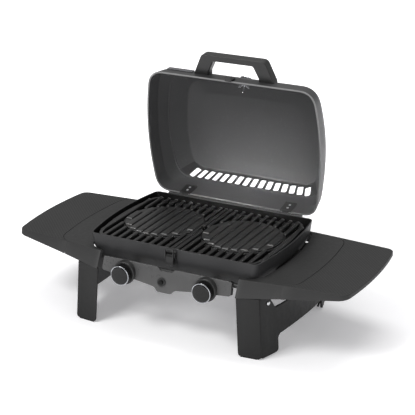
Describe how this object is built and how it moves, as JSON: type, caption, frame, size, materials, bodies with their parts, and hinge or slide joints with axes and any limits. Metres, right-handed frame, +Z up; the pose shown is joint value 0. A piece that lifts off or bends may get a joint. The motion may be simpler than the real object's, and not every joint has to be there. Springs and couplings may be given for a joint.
{
  "type": "folding camp grill",
  "caption": "Portable gas grill with a hinged deep lid, barrel-shaped firebox, cast grates with lift-out round griddle plates, front controls, two leg frames and fold-up side tables",
  "frame": {"origin": "on the floor, under the middle of the whole grill's bounding box with the lid open", "axes": "+X to the right across both side tables, +Y to the back where the lid is hinged, +Z up"},
  "size_m": [0.976, 0.5588, 0.6558],
  "materials": {
    "cast_iron": "satin black enamelled casting",
    "bowl_paint": "fine textured dark grey",
    "lid_paint": "satin mid grey",
    "panel_paint": "satin dark grey",
    "table_plastic": "fine moulded texture",
    "leg_plastic": "fine moulded texture",
    "black_plastic": "semi-gloss black",
    "black_steel": "black coated steel",
    "rubber": "matt black",
    "chrome": "bright",
    "steel": "bare",
    "brass": "bare"
  },
  "bodies": {
    "frame": {"firebox_bowl": "bowl_paint", "tray_runners": "black_steel", "gas_manifold": "black_steel", "gas_inlet": "black_steel", "control_panel": "panel_paint", "igniter_body": "black_plastic", "hinge_rod": "black_steel", "latch_base": "black_steel", "left_burner": "steel", "left_electrode": "chrome", "left_gas_valve": "brass", "left_knob_bezel": "black_plastic", "left_hinge_base": "black_steel", "left_side_panel": "table_plastic", "left_leg_frame": "leg_plastic", "left_bowl_bracket": "black_steel", "left_side_rail": "black_steel", "left_front_foot": "rubber", "left_rear_foot": "rubber", "left_front_leg_screw": "steel", "left_rear_leg_screw": "steel", "right_burner": "steel", "right_electrode": "chrome", "right_gas_valve": "brass", "right_knob_bezel": "black_plastic", "right_hinge_base": "black_steel", "right_side_panel": "table_plastic", "right_leg_frame": "leg_plastic", "right_bowl_bracket": "black_steel", "right_side_rail": "black_steel", "right_front_foot": "rubber", "right_rear_foot": "rubber", "right_front_leg_screw": "steel", "right_rear_leg_screw": "steel"},
    "lid": {"lid_shell": "lid_paint", "lid_handle": "black_plastic", "lid_catch": "black_steel", "thermometer_dial": "chrome", "thermometer_stem": "steel", "left_hinge_leaf": "black_steel", "left_handle_screw": "steel", "right_hinge_leaf": "black_steel", "right_handle_screw": "steel"},
    "latch_lever": {"latch_lever": "black_steel"},
    "latch_bail": {"latch_bail": "black_steel"},
    "grease_tray": {"grease_tray": "steel"},
    "igniter_button": {"igniter_button": "black_plastic"},
    "left_knob_stem": {"left_knob_stem": "steel"},
    "left_knob": {"left_knob": "black_plastic", "left_knob_ring": "chrome"},
    "left_grate": {"left_grate": "cast_iron"},
    "left_griddle_plate": {"left_griddle_plate": "cast_iron"},
    "left_table": {"left_table": "table_plastic"},
    "right_knob_stem": {"right_knob_stem": "steel"},
    "right_knob": {"right_knob": "black_plastic", "right_knob_ring": "chrome"},
    "right_grate": {"right_grate": "cast_iron"},
    "right_griddle_plate": {"right_griddle_plate": "cast_iron"},
    "right_table": {"right_table": "table_plastic"}
  },
  "joints": [
    {"name": "lid_hinge", "type": "hinge", "parent": "frame", "child": "lid", "pos_m": [0, 0.14383, 0.236], "axis": [1, 0, 0], "range_deg": [0, 83.6]},
    {"name": "latch_lever_hinge", "type": "hinge", "parent": "frame", "child": "latch_lever", "pos_m": [0, -0.21997, 0.221], "axis": [-1, 0, 0], "range_deg": [0, 110]},
    {"name": "latch_bail_hinge", "type": "hinge", "parent": "latch_lever", "child": "latch_bail", "pos_m": [0, -0.22337, 0.214], "axis": [-1, 0, 0], "range_deg": [-110, 0]},
    {"name": "grease_tray_slide", "type": "slide", "parent": "frame", "child": "grease_tray", "axis": [0, -1, 0], "range_m": [0, 0.15]},
    {"name": "igniter_push", "type": "slide", "parent": "frame", "child": "igniter_button", "axis": [0, 0.9659, -0.2588], "range_m": [0, 0.005], "stiffness_N_per_m": 200},
    {"name": "left_knob_push", "type": "slide", "parent": "frame", "child": "left_knob_stem", "axis": [0, 1, 0], "range_m": [0, 0.003], "stiffness_N_per_m": 600},
    {"name": "left_knob_turn", "type": "hinge", "parent": "left_knob_stem", "child": "left_knob", "pos_m": [-0.117, -0.26917, 0.162], "axis": [0, -1, 0], "range_deg": [0, 180]},
    {"name": "left_grate_lift", "type": "slide", "parent": "frame", "child": "left_grate", "axis": [0, 0, 1], "range_m": [0, 0.035]},
    {"name": "left_griddle_plate_lift", "type": "slide", "parent": "left_grate", "child": "left_griddle_plate", "axis": [0, 0, 1], "range_m": [0, 0.02]},
    {"name": "left_table_fold", "type": "hinge", "parent": "frame", "child": "left_table", "pos_m": [-0.311, -0.03917, 0.2006], "axis": [0, 1, 0], "range_deg": [0, 90]},
    {"name": "right_knob_push", "type": "slide", "parent": "frame", "child": "right_knob_stem", "axis": [0, 1, 0], "range_m": [0, 0.003], "stiffness_N_per_m": 600},
    {"name": "right_knob_turn", "type": "hinge", "parent": "right_knob_stem", "child": "right_knob", "pos_m": [0.117, -0.26917, 0.162], "axis": [0, -1, 0], "range_deg": [0, 180]},
    {"name": "right_grate_lift", "type": "slide", "parent": "frame", "child": "right_grate", "axis": [0, 0, 1], "range_m": [0, 0.035]},
    {"name": "right_griddle_plate_lift", "type": "slide", "parent": "right_grate", "child": "right_griddle_plate", "axis": [0, 0, 1], "range_m": [0, 0.02]},
    {"name": "right_table_fold", "type": "hinge", "parent": "frame", "child": "right_table", "pos_m": [0.311, -0.03917, 0.2006], "axis": [0, -1, 0], "range_deg": [0, 90]}
  ],
  "couplings": [
    {"joint": "latch_bail_hinge", "follows": "latch_lever_hinge", "ratio": -1}
  ]
}
